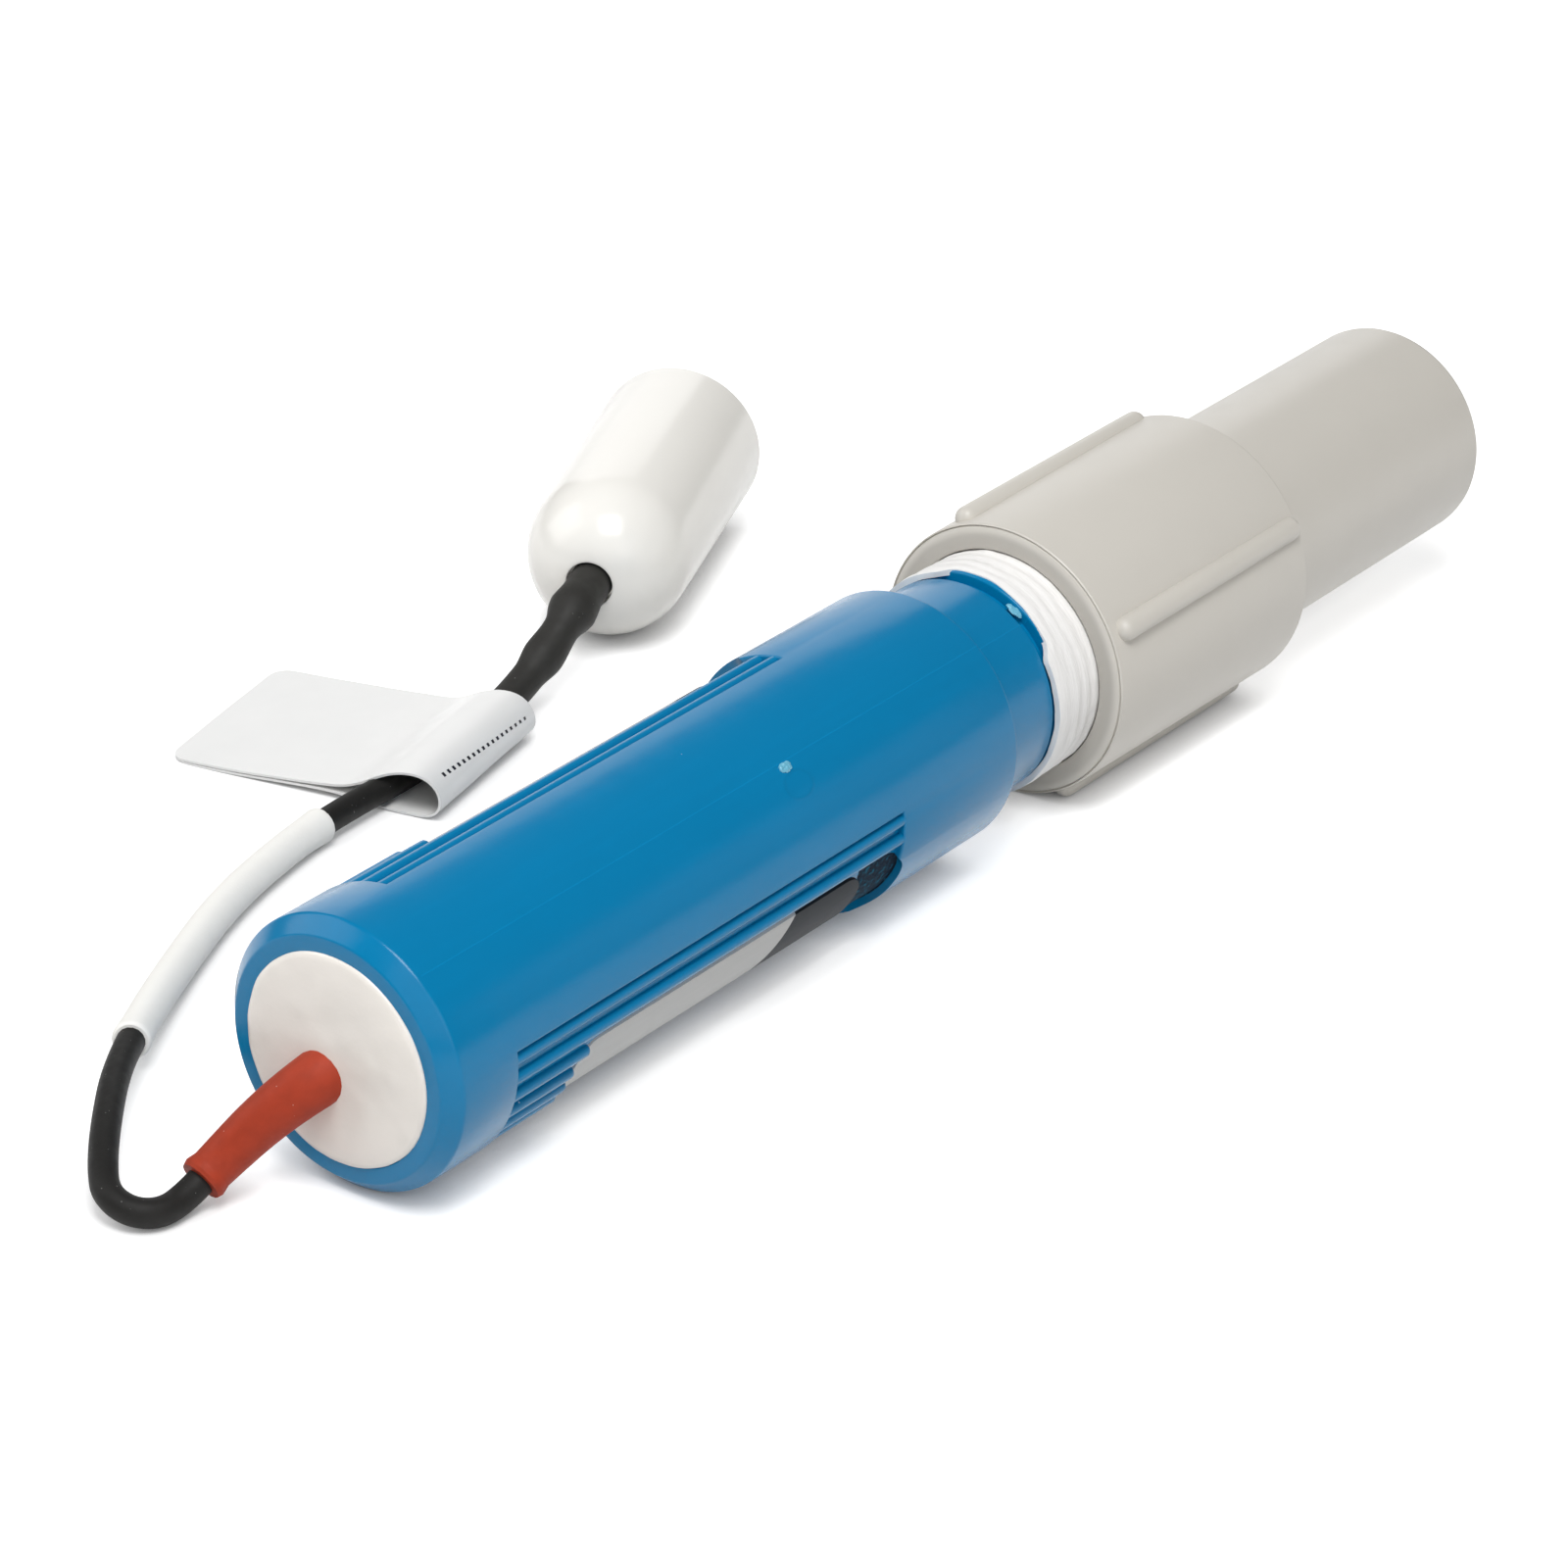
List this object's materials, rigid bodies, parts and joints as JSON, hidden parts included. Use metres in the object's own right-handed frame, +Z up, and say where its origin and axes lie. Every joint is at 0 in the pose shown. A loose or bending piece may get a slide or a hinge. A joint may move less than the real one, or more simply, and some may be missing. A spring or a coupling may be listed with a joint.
{
  "type": "ph electrode",
  "caption": "combination pH electrode with a blue threaded barrel in a grey storage cap, and a thin flagged lead ending in a booted bayonet plug",
  "frame": {"origin": "bottom centre of the box round the probe and its cap, measured without the lead and what is on it", "axes": "+X runs along the probe from the cable end to the closed end of the cap; +Z is up as it lies; +Y points to the side the lead loops round"},
  "size_m": [0.2164, 0.1015, 0.0334],
  "materials": {
    "barrel_blue": "satin moulded",
    "resin": "cast resin, faintly pink",
    "silicone": "matte silicone",
    "label": null,
    "tape": "thread seal tape",
    "glass": "clear",
    "ceramic": "porous",
    "seal": "matte",
    "insulator": "waxy",
    "silver": "drawn silver wire",
    "cable": "matte jacket",
    "marker": "heat shrink",
    "tag": "glossy film, bare",
    "shrink": "heat shrink",
    "boot": "satin moulded",
    "nickel": "nickel plated",
    "contact": "gold plated",
    "cap": "satin moulded"
  },
  "bodies": {
    "probe": {"barrel": "barrel_blue", "potting_plug": "resin", "strain_relief": "silicone", "label_left": "label", "label_right": "label", "thread_tape": "tape", "glass_stem": "glass", "junction_ring": "ceramic", "stem_o_ring": "seal", "cell_bulkhead": "insulator", "stem_stopper": "seal", "inner_wire": "silver", "reference_wire": "silver", "core_lead": "insulator", "screen_lead": "cable", "cable": "cable", "marker_sleeve": "marker", "flag_tag": "tag", "shrink_sleeve": "shrink", "plug_ferrule": "nickel", "plug_body": "nickel", "plug_gasket": "seal", "plug_insulator": "insulator", "plug_pin": "contact", "cable_core": "insulator"},
    "cap_slider": {"cap_seal": "seal"},
    "cap": {"storage_cap": "cap"},
    "plug_grip": {"connector_boot": "boot", "coupling_nut": "nickel", "plug_washer": "nickel"}
  },
  "joints": [
    {"name": "cap_travel", "type": "slide", "parent": "probe", "child": "cap_slider", "axis": [1, 0, 0], "range_m": [0, 0.0091]},
    {"name": "cap_turn", "type": "hinge", "parent": "cap_slider", "child": "cap", "pos_m": [0.05, 0, 0.01672], "axis": [1, 0, 0], "range_deg": [0, 1800]},
    {"name": "nut_turn", "type": "hinge", "parent": "probe", "child": "plug_grip", "pos_m": [0.01335, 0.0582, 0.01045], "axis": [0.9164, 0.4003, 0], "continuous": true}
  ],
  "couplings": [
    {"joint": "cap_travel", "follows": "cap_turn", "m_per_rad": 0.00028875}
  ]
}
